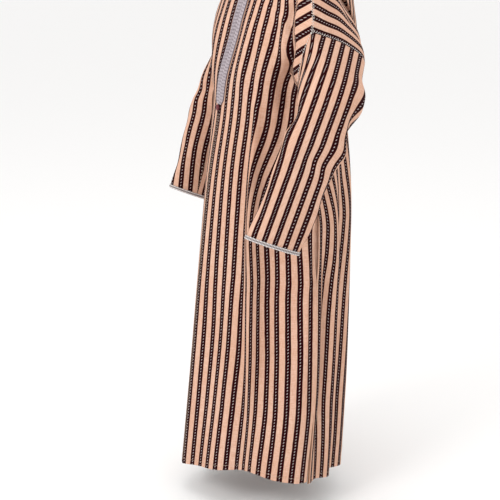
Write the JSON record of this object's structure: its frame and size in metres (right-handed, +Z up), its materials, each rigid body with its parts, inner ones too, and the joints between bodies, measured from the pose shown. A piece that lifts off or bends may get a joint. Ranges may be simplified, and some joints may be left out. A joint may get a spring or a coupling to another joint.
{
  "type": "djellaba robe",
  "caption": "Long striped hooded robe with dropped sleeves, braided neck placket and cuffs and side slits, filled out as worn with no wearer",
  "frame": {"origin": "on the wearer's shoulder line, midway between the two neck points of the shoulder seams, where the shoulders hold the robe", "axes": "+Z up, the robe faces -Y, the wearer's left is +X"},
  "size_m": [0.6836, 0.4831, 1.3882],
  "materials": {
    "striped_cloth": "woven cream and maroon-black stripes, matt, with a row of pale slanted floats in each dark stripe",
    "braid": "silvery grey braid with a soft sheen",
    "knot": "dark maroon corded knot"
  },
  "bodies": {
    "root": {"front_left": "striped_cloth", "front_right": "striped_cloth", "back": "striped_cloth", "sleeve_left": "striped_cloth", "sleeve_right": "striped_cloth", "hood_left": "striped_cloth", "hood_right": "striped_cloth", "placket_left": "braid", "placket_right": "braid", "cuff_braid_left": "braid", "cuff_braid_right": "braid", "placket_knot": "knot"}
  },
  "joints": []
}
